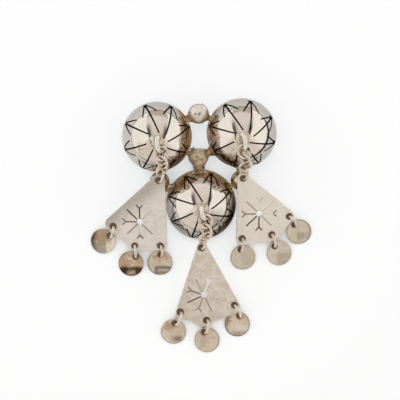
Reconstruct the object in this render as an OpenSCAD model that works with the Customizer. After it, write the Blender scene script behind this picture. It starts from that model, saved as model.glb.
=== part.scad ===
// A silver brooch lying face up: three pierced domes soldered in a triangle with four balls,
// a loop on each dome, and from each loop a short chain, a pierced plate and three discs.
// Millimetres. Z is up, Y runs from the drops to the top of the brooch, and the origin is on
// the surface that it lies on, under the middle of its outline.

/* [Domes] */
// Outer radius of a dome
dome_r = 11.2; // [10.8:0.1:11.4]
// Thickness of the dome sheet
dome_sheet = 0.6; // [0.4:0.1:0.8]
// Thickness of the flat back of a dome
back_sheet = 0.5; // [0.4:0.1:0.8]
// Angle at which the frame leans on its pin fittings
frame_lean = 8; // [7.5:0.1:8.5]

/* [Sawn ornament] */
// Width of a line sawn in a dome
saw_w = 0.45; // [0.3:0.05:0.5]
// Number of three-pronged cuts round a dome
cuts = 8; // [6:1:8]
// Angle from the dome's top to the root of a cut
cut_root = 77; // [74:1:78]
// Angle covered by the middle prong of a cut
mid_prong = 62; // [50:1:63]
// Angle covered by a side prong of a cut
side_prong = 32; // [20:1:34]
// Angle between a side prong and the middle prong
prong_spread = 26; // [22:1:30]

/* [Balls and loops] */
// Radius of a soldered ball
ball_r = 3.3; // [3:0.1:3.4]
// Height of the ball centres above the back of the frame
ball_h = 2.6; // [2.2:0.1:2.8]
// Radius of the wire of a dome's loop
loop_wire_r = 0.65; // [0.5:0.05:0.7]
// Radius of a dome's loop, to the middle of its wire
loop_r = 2.15; // [2:0.05:2.25]

/* [Plates] */
// Thickness of a hanging plate
plate_t = 0.7; // [0.5:0.1:0.8]
// Radius of the ring holes in a plate
plate_hole_r = 1.1; // [1.05:0.05:1.15]
// Radius of the hole in the middle of a plate's star
star_hole_r = 1.0; // [0.8:0.1:1.2]
// Width of a line sawn in a plate
star_w = 0.4; // [0.3:0.05:0.5]
// Reach of a plain ray of the star
ray_reach = 5.8; // [5:0.1:6]

/* [Discs and rings] */
// Radius of a small disc
disc_r = 4.05; // [3.8:0.05:4.1]
// Thickness of a small disc
disc_t = 0.5; // [0.4:0.1:0.6]
// Radius of the wire of the jump rings
ring_wire_r = 0.43; // [0.38:0.01:0.44]
// Radius of a chain ring, to the middle of its wire
chain_r = 2.08; // [2.06:0.01:2.1]
// Play of a disc ring beyond the two holes that it joins
disc_ring_play = 0.1; // [0.08:0.01:0.12]

/* [Pin] */
// Radius of the pin's stem
pin_r = 0.6; // [0.5:0.05:0.65]
// Distance from the hinge to the catch
pin_span = 24; // [23:0.5:25]

/* [Hidden] */
$fn = 96;
sides = ["left", "right", "middle"];
SILVER = [0.80, 0.79, 0.76];
SATIN = [0.78, 0.75, 0.70];
TONED = [0.76, 0.70, 0.60];

// The frame touches the surface at the lower rim of the middle dome and leans up from there
pivot_y = -4.4;

// Domes, columns: x and y of the centre seen from above, turn of its cuts seen from above,
// and how many degrees further up its cuts start
dome_table = [
    [-14.1, 28.3, -2, 0],
    [13.0, 29.4, 8, 2],
    [0, 6.7, 6, 3]
];

// The cuts aim a little past the top of their dome: by a turn, and by more or less than it
// towards one bearing
cut_aim = 5;
cut_aim_drift = 6;
drift_bearing = 65;

// Balls, columns: x, y seen from above, and the radius
ball_table = [
    [-0.8, 35.5, ball_r],
    [-0.8, 21.8, ball_r],
    [-13.3, 13.8, ball_r - 0.1],
    [12.6, 14.2, ball_r - 0.1]
];

// Solder necks, columns: ball, dome, radius of the neck
neck_table = [
    [0, 0, 1.1], [0, 1, 1.1],
    [1, 0, 1.5], [1, 1, 1.5], [1, 2, 1.8],
    [2, 0, 1.3], [2, 2, 1.5],
    [3, 1, 1.4], [3, 2, 1.4]
];

// Loops, columns: offset from the dome's top across and along, turn, sideways lean
loop_table = [
    [0.9, -1.0, 12, -16],
    [0.4, -1.3, 7, 16],
    [0.8, -0.8, 14, -12]
];
loop_rise = 0.9;
collar_r = 2.35;
collar_rise = 0.3;
hang_in = 0.64; // how far inside a loop the first ring hangs

// Plates, columns: x, y of the star seen from above, turn, slope, height of its lowest hole
plate_table = [
    [-19.5, 1.1, -23.4, 18.5, 2.3],
    [18.5, 3.7, 24.2, 20, 2.4],
    [0.9, -22.3, 3.6, 13, 2.0]
];

// Plate corners in the plate's own axes, columns: x, y, radius of the corner
plate_corners = [
    [[0.3, 20.1, 1.7], [-10.9, -5.8, 2.4], [2.1, -9.8, 1.5], [11.7, -5.0, 1.4]],
    [[-0.2, 17.4, 1.7], [-10.8, -6.7, 1.3], [1.1, -10.9, 1.6], [10.8, -5.6, 2.2]],
    [[0.2, 19.8, 1.7], [-9.5, -5.7, 1.0], [-1.3, -10.5, 1.5], [12.2, -5.7, 2.2]]
];

// Plate holes in the plate's own axes: the chain's first, then the discs' from left to right
plate_holes = [
    [[0.2, 15.3], [-7.3, -4.9], [1.5, -8.1], [9.0, -4.6]],
    [[-0.1, 13.2], [-8.2, -5.3], [0.9, -8.3], [8.4, -5.0]],
    [[0.1, 15.6], [-7.9, -5.0], [0.3, -8.3], [9.5, -3.9]]
];

corner_steps = 9;

// Turn of each plate's star against the plate
star_turn = [23.4, -24.2, -23];
fork_stem = 4.6;
fork_prong = 1.6;
fork_spread = 40;

// The three joints of each chain above its dome, columns: distance from the dome's centre,
// angle from the top, sideways bearing
chain_joints = [
    [[13.1, 33.6, 14], [13.3, 46.7, 11], [13.5, 58.4, 9]],
    [[13.15, 34.8, 6], [13.35, 47.8, 6], [13.1, 60.6, 5]],
    [[13.05, 33.0, 14], [13.35, 46.0, 10], [13.45, 58.9, 5]]
];
// Roll of the four rings of each chain about the chain
chain_rolls = [
    [-12, 40, -35, 60],
    [-12, 45, -20, 55],
    [-14, 38, -45, 65]
];

// Discs, columns: x, y seen from above, bearing from the centre to its hole, slope,
// and the roll of its ring
disc_table = [
    [[-31.2, -5.1, 49, 14, 75], [-22.35, -12.3, 34, 14, 88], [-13.1, -12.0, 2, 15, 75]],
    [[13.4, -10.3, -17, 15, 75], [24.95, -8.9, -35, 14, 78], [31.2, -2.1, -33, 14, 75]],
    [[-8.8, -34.0, 7, 12, 65], [1.9, -36.7, -21, 12, 67], [11.6, -31.6, 14, 10, 80]]
];
disc_hole_r = 1.0;
disc_hole_at = 2.75;
floor_gap = 0.03;

// Pin fittings behind the two upper domes, in the frame's own axes
pin_y = 38.2;
knuckle_r = 1.7;
ear_t = 0.9;
ear_gap = 1.7;
rivet_r = 0.6;
eye_r = 1.4;
eye_hole_r = 0.75;
catch_l = 3;
catch_bore_r = 0.95;
catch_mouth = 1.35;
pin_tip = 2.5;
pin_drop = (pin_y - ear_gap / 2 - ear_t) * tan(frame_lean) - knuckle_r;
catch_foot_r = pin_y * sin(frame_lean) - pin_drop * cos(frame_lean);
hinge_x = -pin_span / 2 - 0.5;
catch_x = pin_span / 2 - 0.5;

// Vectors
function unit(v) = v / norm(v);
function bearing_dir(b) = [sin(b), cos(b)];

// A point of the frame, from where it shows from above and its height above the frame's back
function on_frame(x, y, h) = [x, (y - pivot_y + h * sin(frame_lean)) / cos(frame_lean), h];

// The same point where it lies on the surface
function laid(p) = [
    p[0],
    pivot_y + p[1] * cos(frame_lean) - p[2] * sin(frame_lean),
    p[1] * sin(frame_lean) + p[2] * cos(frame_lean)
];

function dome_at(k) = on_frame(dome_table[k][0], dome_table[k][1], 0);
function ball_at(b) = on_frame(ball_table[b][0], ball_table[b][1], ball_h);
function loop_at(k) = dome_at(k) + [loop_table[k][0], loop_table[k][1], dome_r + loop_rise];

// Height of a plate's star, so that its lowest hole has the height in the table
function plate_star(k) = let (p = plate_table[k])
    [p[0], p[1], p[4] - plate_holes[k][2][1] * sin(p[3])];

// A point of a plate, from its own axes
function on_plate(k, p) = let (turn = plate_table[k][2], slope = plate_table[k][3])
    plate_star(k) + [
        p[0] * cos(turn) - p[1] * cos(slope) * sin(turn),
        p[0] * sin(turn) + p[1] * cos(slope) * cos(turn),
        p[1] * sin(slope)
    ];

// Height of a disc's centre, so that its far edge lies on the surface
function disc_centre(k, i) = let (d = disc_table[k][i - 1])
    [d[0], d[1], floor_gap + disc_r * sin(d[3]) + disc_t / 2 * cos(d[3])];

function disc_hole(k, i) = let (d = disc_table[k][i - 1], b = bearing_dir(d[2]))
    disc_centre(k, i) + disc_hole_at * [b[0] * cos(d[3]), b[1] * cos(d[3]), sin(d[3])];

// Joints of a chain: the loop's lower end, three over the dome, and the plate's hole
function chain_point(k, i) =
    i == 0 ? laid(loop_at(k)) + (loop_r - hang_in) * loop_down(k)
    : i == 4 ? on_plate(k, plate_holes[k][0])
    : let (j = chain_joints[k][i - 1])
        laid(dome_at(k)) + j[0] * [sin(j[1]) * sin(j[2]), -sin(j[1]) * cos(j[2]), cos(j[1])];

function loop_down(k) = let (t = loop_table[k][2], c = cos(frame_lean), s = sin(frame_lean))
    [sin(t), -cos(t) * c, -cos(t) * s];

// Puts a child on the frame's own axes where the frame lies
module lay_frame() {
    translate([0, pivot_y, 0]) rotate([frame_lean, 0, 0]) children();
}

// Turns a child's X axis along a direction, rolled about it
module along(dir, roll = 0) {
    rotate([0, -asin(dir[2]), atan2(dir[1], dir[0])]) rotate([roll, 0, 0]) children();
}

module wire_ring(r, wire_r) {
    rotate_extrude() translate([r, 0]) circle(r = wire_r);
}

// One straight cut along the dome, from the root towards the top
module prong(bearing, reach) {
    inner = dome_r - 2;
    outer = dome_r + 1.5;
    rotate([0, 0, 180 + bearing])
        rotate([90, 0, 0])
        linear_extrude(height = saw_w, center = true)
        polygon([
            [0, inner],
            [0, outer],
            [outer * sin(reach / 2), outer * cos(reach / 2)],
            [outer * sin(reach), outer * cos(reach)],
            [inner * sin(reach), inner * cos(reach)]
        ]);
}

// The saw's starting notch at the root of a cut
module notch() {
    translate([0, 0, dome_r - 2])
        linear_extrude(height = 4)
        polygon([[0.45, -0.85], [0.45, 0.85], [-1.1, 0.45], [-1.1, -0.45]]);
}

module dome_cut() {
    prong(0, mid_prong);
    prong(prong_spread, side_prong);
    prong(-prong_spread, side_prong);
    notch();
}

// A hollow half ball with a flat back and the cuts sawn through it
module dome(turn, lift) {
    difference() {
        sphere(r = dome_r);
        difference() {
            sphere(r = dome_r - dome_sheet);
            translate([0, 0, back_sheet - dome_r]) cube(2 * dome_r, center = true);
        }
        translate([0, 0, -2 * dome_r]) cube(4 * dome_r, center = true);
        for (i = [0:cuts - 1]) {
            bearing = 90 + turn + (i + 0.5) * 360 / cuts;
            aim = cut_aim + cut_aim_drift * cos(bearing - drift_bearing);
            rotate([0, 0, bearing]) rotate([0, cut_root - lift, 0]) rotate([0, 0, aim]) dome_cut();
        }
    }
}

// The low round seat under a loop
module collar() {
    intersection() {
        sphere(r = dome_r + collar_rise);
        translate([0, 0, dome_r - 1]) cylinder(r = collar_r, h = 2);
    }
}

// The thick wire loop on a dome, its foot sunk in the collar and open above it
module dome_loop(k) {
    t = loop_table[k];
    difference() {
        translate([t[0], t[1], dome_r + loop_rise])
            rotate([0, 0, t[2]]) rotate([0, 90 + t[3], 0]) wire_ring(loop_r, loop_wire_r);
        sphere(r = dome_r - dome_sheet / 2);
    }
}

// A soldered neck between a ball and a dome, inside both skins
module neck(row) {
    from = ball_at(row[0]);
    to = dome_at(row[1]) + [0, 0, ball_h];
    reach = norm(to - from) - dome_r + 1;
    translate(from) along(unit(to - from)) rotate([0, 90, 0]) cylinder(r = row[2], h = reach);
}

// Two ears with the rivet that carries the pin
module hinge() {
    translate([hinge_x, pin_y, -pin_drop]) {
        for (s = [-1, 1])
            translate([0, s * (ear_gap + ear_t) / 2, 0]) rotate([0, 0, 90]) foot(knuckle_r, ear_t);
        rotate([90, 0, 0]) cylinder(r = rivet_r, h = ear_gap + ear_t, center = true);
    }
}

// A round-footed plate that stands behind a dome, its width along X
module foot(r, width) {
    rotate([0, 90, 0]) cylinder(r = r, h = width, center = true);
    translate([-width / 2, -r, 0]) cube([width, 2 * r, pin_drop + back_sheet / 2]);
}

// The catch: a bored foot with a mouth on one side for the pin
module catch() {
    translate([catch_x, pin_y, -pin_drop])
        difference() {
            foot(catch_foot_r, catch_l);
            rotate([0, 90, 0]) cylinder(r = catch_bore_r, h = catch_l + 1, center = true);
            translate([-catch_l, -2 * catch_foot_r, -catch_mouth / 2])
                cube([2 * catch_l, 2 * catch_foot_r, catch_mouth]);
        }
}

module brooch_frame() {
    color(SILVER) lay_frame() {
        for (k = [0:2]) translate(dome_at(k)) {
            dome(dome_table[k][2], dome_table[k][3]);
            collar();
            dome_loop(k);
        }
        for (b = [0:3]) translate(ball_at(b)) sphere(r = ball_table[b][2]);
        for (row = neck_table) neck(row);
        hinge();
        catch();
    }
}

// The pin: an eye round the rivet and a straight stem that ends past the catch
module brooch_pin() {
    stem = pin_span + catch_l / 2;
    color(SILVER) lay_frame() translate([hinge_x, pin_y, -pin_drop]) {
        difference() {
            union() {
                rotate([90, 0, 0]) cylinder(r = eye_r, h = 2 * pin_r, center = true);
                rotate([0, 90, 0]) cylinder(r = pin_r, h = stem);
            }
            rotate([90, 0, 0]) cylinder(r = eye_hole_r, h = 4 * pin_r, center = true);
        }
        translate([stem, 0, 0]) rotate([0, 90, 0]) cylinder(r1 = pin_r, r2 = 0.1, h = pin_tip);
    }
}

// An outline whose corners are arcs, from its sharp corners and the radius of each
module rounded(corners) {
    n = len(corners);
    polygon([
        for (i = [0:n - 1])
            let (
                c = corners[i],
                at = [c[0], c[1]],
                back = unit([corners[(i + n - 1) % n][0], corners[(i + n - 1) % n][1]] - at),
                on = unit([corners[(i + 1) % n][0], corners[(i + 1) % n][1]] - at),
                half = acos(back * on) / 2,
                middle = at + unit(back + on) * c[2] / sin(half),
                first = atan2(at[1] - middle[1], at[0] - middle[0]) - (90 - half)
            )
            for (s = [0:corner_steps])
                middle + c[2] * bearing_dir(90 - first - 2 * (90 - half) * s / corner_steps)
    ]);
}

// A sawn line from the star's middle, or from a given distance, to its reach
module ray(turn, start, reach) {
    rotate(turn) translate([start, -star_w / 2]) square([reach - start, star_w]);
}

module star() {
    circle(r = star_hole_r);
    for (i = [0:3]) {
        ray(90 * i, 0, fork_stem);
        for (s = [-1, 1])
            rotate(90 * i) translate([fork_stem - star_w / 2, 0]) ray(s * fork_spread, 0, fork_prong);
        ray(90 * i + 45, 0, ray_reach);
    }
}

module plate(k) {
    p = plate_table[k];
    color(SATIN)
        translate(plate_star(k)) rotate([0, 0, p[2]]) rotate([p[3], 0, 0])
        linear_extrude(height = plate_t, center = true)
        difference() {
            rounded(plate_corners[k]);
            rotate(star_turn[k]) star();
            for (h = plate_holes[k]) translate(h) circle(r = plate_hole_r);
        }
}

module chain_ring(k, i) {
    from = chain_point(k, i - 1);
    to = chain_point(k, i);
    middle = i < 4 ? (from + to) / 2 : to - chain_r * unit(to - from);
    color(SILVER)
        translate(middle) along(unit(to - from), chain_rolls[k][i - 1]) wire_ring(chain_r, ring_wire_r);
}

module disc(k, i) {
    d = disc_table[k][i - 1];
    color(TONED)
        translate(disc_centre(k, i)) rotate([0, 0, -d[2]]) rotate([d[3], 0, 0])
        linear_extrude(height = disc_t, center = true)
        difference() {
            circle(r = disc_r);
            translate([0, disc_hole_at]) circle(r = disc_hole_r);
        }
}

// A ring through a plate's hole and a disc's hole, standing almost upright on both
module disc_ring(k, i) {
    from = on_plate(k, plate_holes[k][i]);
    to = disc_hole(k, i);
    half = norm(to - from) / 2;
    r = half + disc_ring_play;
    color(SILVER)
        translate((from + to) / 2) along(unit(to - from), disc_table[k][i - 1][4])
        translate([0, sqrt(r * r - half * half), 0]) wire_ring(r, ring_wire_r);
}

brooch_frame();
brooch_pin();
for (k = [0:2]) {
    plate(k);
    for (i = [1:4])
        chain_ring(k, i);
    for (i = [1:3]) {
        disc(k, i);
        disc_ring(k, i);
    }
}
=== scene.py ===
# %% [markdown]
# # A silver brooch with pierced domes and hanging plates
# This lesson dresses a brooch whose construction is already settled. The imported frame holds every
# piece at its real size, and each cell below builds or finishes one kind of piece around it.
# The work is done in millimetres and turned into metres once, where a mesh is made.

import math

import bmesh
import bpy
import numpy as np
from mathutils import Matrix, Vector
from mathutils.kdtree import KDTree


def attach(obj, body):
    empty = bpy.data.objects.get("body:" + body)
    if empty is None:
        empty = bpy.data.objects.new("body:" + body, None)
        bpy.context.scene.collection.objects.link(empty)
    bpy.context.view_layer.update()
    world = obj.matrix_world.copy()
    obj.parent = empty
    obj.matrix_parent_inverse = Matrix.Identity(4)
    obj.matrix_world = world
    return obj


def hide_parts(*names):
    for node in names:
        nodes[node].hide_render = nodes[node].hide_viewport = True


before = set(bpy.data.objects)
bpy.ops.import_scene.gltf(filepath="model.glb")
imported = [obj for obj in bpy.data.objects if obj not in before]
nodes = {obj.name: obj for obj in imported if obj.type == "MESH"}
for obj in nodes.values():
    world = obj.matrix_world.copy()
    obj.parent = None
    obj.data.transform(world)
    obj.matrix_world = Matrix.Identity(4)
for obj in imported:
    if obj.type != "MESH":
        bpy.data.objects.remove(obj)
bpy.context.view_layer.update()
MM = 0.001
SIDES = ("left", "right", "middle")

# %% [markdown]
# ## The camera
# The brooch lies face up and was photographed from straight above through a long lens, so that
# the domes look round wherever they are. A short lens close by would lean them outwards. The
# height below is large, and the focal length follows from it and from the width of the view.

# %% Look straight down
view_middle = Vector((-0.32, 8.0, 0.0)) * MM
view_width = 128 * MM
camera_height = 1.5
camera = bpy.data.objects.new("camera", bpy.data.cameras.new("camera"))
camera.data.sensor_width = 36
camera.data.lens = camera.data.sensor_width * camera_height / view_width
camera.location = view_middle + Vector((0, 0, camera_height))
bpy.context.scene.collection.objects.link(camera)
bpy.context.scene.camera = camera
print("lens in mm", round(camera.data.lens))

# %% [markdown]
# ## Writing shader sums
# Materials and light are both made of small sums. Placing every node by hand takes many lines,
# so a few helpers make a node, join its inputs and hand back its output. An input may be a plain
# number or the output of another node.

# %% Helpers for node sums
def join(tree, socket, given):
    if isinstance(given, bpy.types.NodeSocket):
        tree.links.new(given, socket)
    else:
        socket.default_value = given


def add_node(tree, kind, inputs=None, **settings):
    made = tree.nodes.new(kind)
    for name, setting in settings.items():
        setattr(made, name, setting)
    for key, given in (inputs or {}).items():
        join(tree, made.inputs[key], given)
    return made


def sum_of(tree, operation, first, second=0.0, clamp=False):
    made = add_node(tree, "ShaderNodeMath", {0: first, 1: second}, operation=operation, use_clamp=clamp)
    return made.outputs[0]


def plus(tree, first, *others):
    for other in others:
        first = sum_of(tree, "ADD", first, other)
    return first


def minus(tree, first, second):
    return sum_of(tree, "SUBTRACT", first, second)


def times(tree, first, second):
    return sum_of(tree, "MULTIPLY", first, second)


def dot(tree, vector, weights):
    made = add_node(tree, "ShaderNodeVectorMath", {0: vector, 1: weights}, operation="DOT_PRODUCT")
    return made.outputs["Value"]


def step(tree, given, low, high, start=0.0, end=1.0):
    made = add_node(
        tree,
        "ShaderNodeMapRange",
        {"Value": given, "From Min": low, "From Max": high, "To Min": start, "To Max": end},
        interpolation_type="SMOOTHSTEP",
    )
    return made.outputs["Result"]


def blend(tree, factor, first, second):
    made = add_node(tree, "ShaderNodeMix", data_type="RGBA")
    join(tree, made.inputs[0], factor)
    join(tree, made.inputs[6], first)
    join(tree, made.inputs[7], second)
    return made.outputs[2]


def colour(red, green, blue):
    return (red, green, blue, 1.0)


# %% [markdown]
# ## The studio light
# Polished silver has hardly any colour of its own: it shows the room. The photograph's domes show
# a large soft box on the left and one on the right, a grey gap between them, two dark wedges where
# the camera's arm hangs in, and a dark line at the horizon. Lamps could make the soft boxes, but a
# sky made of a few sums on the direction gives every edge its place, and stays put from all sides.

# %% A sky with two soft boxes
# inner edge and lower edge of each soft box as plane directions, and its light
BOXES = (
    ((-1.0, -0.36, -0.50), (-0.73, 1.0, -0.1), colour(0.95, 0.935, 0.89)),
    ((1.0, -0.44, -0.58), (0.73, 1.0, -0.1), colour(0.97, 0.945, 0.895)),
)
# the tones of the room from near to far, of its dark parts, and of the floor under the horizon
ROOM_NEAR = colour(0.74, 0.67, 0.62)
ROOM_FAR = colour(0.80, 0.74, 0.70)
FAR_TOP = colour(0.52, 0.455, 0.40)
CAMERA_ARM = colour(0.035, 0.028, 0.022)
HORIZON = colour(0.035, 0.03, 0.025)
UNDERSIDE = colour(0.95, 0.94, 0.93)


def side_box(tree, way, inner, lower):
    within = step(tree, dot(tree, way, inner), -0.03, 0.03)
    above = step(tree, dot(tree, way, lower), -0.22, 0.18)
    return times(tree, within, above)


def dark_wedge(tree, way, height, inner):
    """Darkness in the gap, hard against the edge of a box and fading inwards and down."""
    depth = dot(tree, way, -Vector(inner).normalized())
    close = times(tree, step(tree, depth, 0.30, 0.06), step(tree, depth, -0.10, 0.0))
    return times(tree, close, step(tree, height, 0.55, 0.88))


# %% [markdown]
# ## The horizon
# Low down the domes reflect a dark line, thick on the right and thin on the left, and under it the
# light floor. A band of dark cloth round the table could make it. Here it is two steps on the height
# of a direction, and both edges of the line rise or sink with the side that it looks to.

# %% The horizon and the whole sky
def horizon_line(tree, way, height, room):
    """The dark line of the horizon, thick on the right, and the light floor under it."""
    sideways = dot(tree, way, (0.93, -0.36, 0))
    right = step(tree, sideways, 0.35, 0.95)
    left = step(tree, sideways, -0.35, -0.95)
    upper = plus(tree, -0.085, times(tree, left, 0.06), times(tree, right, 0.035))
    lower = minus(tree, upper, plus(tree, times(tree, right, 0.13), 0.04))
    for edge, tone in ((upper, HORIZON), (lower, UNDERSIDE)):
        room = blend(tree, step(tree, minus(tree, height, edge), 0.012, -0.012), room, tone)
    return room


def studio_sky():
    world = bpy.data.worlds.new("studio")
    world.use_nodes = True
    tree = world.node_tree
    tree.nodes.clear()
    way = add_node(tree, "ShaderNodeTexCoord").outputs["Generated"]
    height = dot(tree, way, (0, 0, 1))
    along = dot(tree, way, (0, 1, 0))
    room = blend(tree, step(tree, along, 0.2, 0.7), ROOM_NEAR, ROOM_FAR)
    far_top = times(tree, step(tree, along, 0.5, 0.9), step(tree, height, 0.36, 0.22))
    room = blend(tree, far_top, room, FAR_TOP)
    for inner, lower, light in BOXES:
        room = blend(tree, dark_wedge(tree, way, height, inner), room, CAMERA_ARM)
    for inner, lower, light in BOXES:
        room = blend(tree, side_box(tree, way, inner, lower), room, light)
    room = horizon_line(tree, way, height, room)
    shade = add_node(tree, "ShaderNodeBackground", {"Color": room, "Strength": 1.0})
    add_node(tree, "ShaderNodeOutputWorld", {"Surface": shade.outputs[0]})
    bpy.context.scene.world = world
    return len(tree.nodes)


print("sky nodes:", studio_sky())

# %% [markdown]
# ## Silver that has been worn
# Old silver is bright where cloth rubs it and brown where it doesn't: in corners, round solder and
# under rings. One shader serves the whole brooch. Its colour drifts slowly, fine scratches break
# up the gloss, and tarnish goes from golden to nearly black, pitted and without the flare that
# clean metal has at a glancing angle. It comes from masks written on the mesh, for stains in known
# places, and from the hollows that neighbouring pieces leave, which darken partly as patina and
# partly as painted shade. Each mask is a number from 0 to 1: tarnish, dull_and_shade (a steep side
# made greyer with painted shade, or a grey back), grey (a greyer tone), dirt_and_shade (a fill in a
# cut or hole, dirt and painted shadow), shade (painted shade and painted reflections, and a darker
# tone on the domes' backs).

# %% Noise, scratches and masks
def noise(tree, where, scale, detail=3.0, roughness=0.5):
    inputs = {"Vector": where, "Scale": scale, "Detail": detail, "Roughness": roughness}
    return add_node(tree, "ShaderNodeTexNoise", inputs).outputs["Fac"]


def scratched(tree, where, scale, turn):
    """Noise drawn out into fine lines across one direction."""
    inputs = {"Vector": where, "Scale": (1.0, 14.0, 1.0), "Rotation": (0, 0, turn)}
    return noise(tree, add_node(tree, "ShaderNodeMapping", inputs).outputs["Vector"], scale, 2.0)


def mask(tree, name):
    return add_node(tree, "ShaderNodeAttribute", attribute_name=name).outputs["Fac"]


def clean_tone(tree, where, bright, dull, patch, mottle):
    """Clean metal: slow drifts and small clouds between two tones, greyer with painted shade where it is
    steep, and greyer where the grey mask is set.
    """
    clouds = times(tree, minus(tree, noise(tree, where, 750.0, 4.0, 0.7), 0.5), mottle)
    drift = plus(tree, noise(tree, where, patch, 5.0, 0.6), clouds)
    tone = blend(tree, step(tree, drift, 0.35, 0.65), dull, bright)
    # steep sides turn greyer: painted shade for their darker reflection; on the flat backs a plain grey tone
    tone = blend(tree, times(tree, mask(tree, "dull_and_shade"), 0.66), tone, colour(0.42, 0.37, 0.335))
    return blend(tree, mask(tree, "grey"), tone, colour(0.30, 0.285, 0.235))


def soil(tree, streaks, hollow, hollow_size, pitted):
    """How soiled the metal is: the tarnish mask and the hollows, broken up by streaks. The hollows darken
    partly as patina and partly as painted shade.
    """
    open_air = add_node(tree, "ShaderNodeAmbientOcclusion", {"Distance": hollow_size * MM}, samples=4)
    shut = step(tree, open_air.outputs["AO"], 0.85, 0.25, 0.0, hollow)
    uneven = step(tree, mask(tree, "tarnish"), 0.1, 0.4, 0.9, 0.9 + 0.4 * pitted)
    return plus(tree, mask(tree, "tarnish"), shut, times(tree, minus(tree, streaks, 0.5), uneven))


# %% [markdown]
# ## One recipe for silver
# A material for each stain would leave visible seams. Instead one recipe lays clean metal, a thin
# stain, thick tarnish, a fill of dirt and painted shadow, and painted shade over each other, and
# lets the masks decide how much of each shows. Where dirt is thick the metal also turns rougher,
# pitted and less metallic.

# %% One shader for all the silver
# the pale of a light fill in a cut, where little dirt or shadow is painted
FILL_PALE = colour(0.78, 0.71, 0.61)
# the colour of painted shade, which the shade mask lays over the metal
SHADE_TONE = colour(0.07, 0.045, 0.03)


def silver(name, bright, dull, gloss, bump, scratch=0.05, stain=colour(0.62, 0.45, 0.28),
           dark=colour(0.13, 0.07, 0.03), hollow=0.6, hollow_size=1.2, patch=180.0, mottle=0.0,
           metal=1.0, pitted=0.5):
    material = bpy.data.materials.new(name)
    material.use_nodes = True
    tree = material.node_tree
    shader = tree.nodes["Principled BSDF"]
    where = add_node(tree, "ShaderNodeTexCoord").outputs["Object"]
    streaks = noise(tree, where, 420.0, 6.0, 0.65)
    soiled = soil(tree, streaks, hollow, hollow_size, pitted)
    light_cover = step(tree, soiled, 0.18, 0.50)
    cover = step(tree, soiled, 0.65, 1.35)
    base = blend(tree, light_cover, clean_tone(tree, where, bright, dull, patch, mottle), stain)
    base = blend(tree, cover, base, dark)
    dirt_and_shade = mask(tree, "dirt_and_shade")
    # a fill in a cut or a hole: pale dirt, or dark dirt and painted shadow
    base = blend(tree, step(tree, dirt_and_shade, 0.02, 0.1), base, blend(tree, dirt_and_shade, FILL_PALE, dark))
    # painted shade and painted reflections, from the shade mask
    base = blend(tree, mask(tree, "shade"), base, SHADE_TONE)
    scratches = plus(tree, scratched(tree, where, 900.0, 0.7), scratched(tree, where, 800.0, -0.8))
    rub = times(tree, minus(tree, scratches, 1.0), scratch)
    rough = plus(tree, gloss, rub, times(tree, mask(tree, "dull_and_shade"), 0.03), times(tree, light_cover, 0.12))
    rough = sum_of(tree, "ADD", rough, times(tree, cover, 0.15), clamp=True)
    pits = plus(tree, streaks, times(tree, noise(tree, where, 1300.0, 3.0, 0.6), 0.5))
    pits = times(tree, pits, times(tree, light_cover, pitted))
    relief = plus(tree, noise(tree, where, 260.0, 2.0), times(tree, scratches, 0.04), pits)
    bumped = add_node(tree, "ShaderNodeBump", {"Height": relief, "Strength": 1.0, "Distance": bump * MM})
    # clean silver flares up at a glancing angle; dirt takes that away, and painted shade does too where the
    # shade mask is set
    glance = blend(tree, light_cover, colour(1.0, 1.0, 1.0), colour(0.45, 0.35, 0.25))
    glance = blend(tree, mask(tree, "shade"), glance, colour(0.12, 0.10, 0.08))
    join(tree, shader.inputs["Specular Tint"], glance)
    join(tree, shader.inputs["Base Color"], base)
    join(tree, shader.inputs["Roughness"], rough)
    join(tree, shader.inputs["Normal"], bumped.outputs["Normal"])
    join(tree, shader.inputs["Metallic"], step(tree, light_cover, 0.0, 1.0, metal, 0.85 * metal))
    return material


# %% [markdown]
# ## A finish for each kind of piece
# The domes were polished most and the solder least. Castings stay rough, a rubbed ball keeps a soft
# shine, and rolled sheet is satin. Several plain materials could do this, but one recipe with
# different numbers keeps them a family: two clean tones, a gloss (low is shiny), a relief in mm and
# how much each takes on dirt.

# %% Mix the finishes
polished = silver("polished_silver", colour(0.87, 0.82, 0.76), colour(0.82, 0.765, 0.70), 0.07, 0.05,
                  stain=colour(0.68, 0.47, 0.27), pitted=4.0)
soldered = silver("soldered_silver", colour(0.86, 0.74, 0.55), colour(0.56, 0.43, 0.29), 0.18, 0.25,
                  hollow=0.45, patch=300.0, mottle=0.8, pitted=1.6)
# the rings darken strongly in their hollows, partly patina and partly painted shade
bright_wire = silver("bright_wire", colour(0.90, 0.84, 0.77), colour(0.80, 0.71, 0.61), 0.16, 0.04,
                     hollow=1.25, hollow_size=1.5)
cast = silver("cast_silver", colour(0.76, 0.63, 0.46), colour(0.36, 0.26, 0.17), 0.52, 0.35, scratch=0.2,
              stain=colour(0.38, 0.27, 0.17), hollow=0.3, patch=330.0, mottle=0.9, metal=0.5)
rubbed = silver("rubbed_silver", colour(0.95, 0.90, 0.81), colour(0.82, 0.75, 0.65), 0.36, 0.03,
                patch=420.0, mottle=0.6, metal=0.7)
thick_wire = silver("thick_wire", colour(0.97, 0.95, 0.90), colour(0.90, 0.86, 0.79), 0.20, 0.05,
                    hollow=0.6, hollow_size=0.9, metal=0.7)
seat = silver("seat_silver", colour(0.84, 0.78, 0.71), colour(0.72, 0.64, 0.56), 0.30, 0.10, hollow=0.5)
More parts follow.
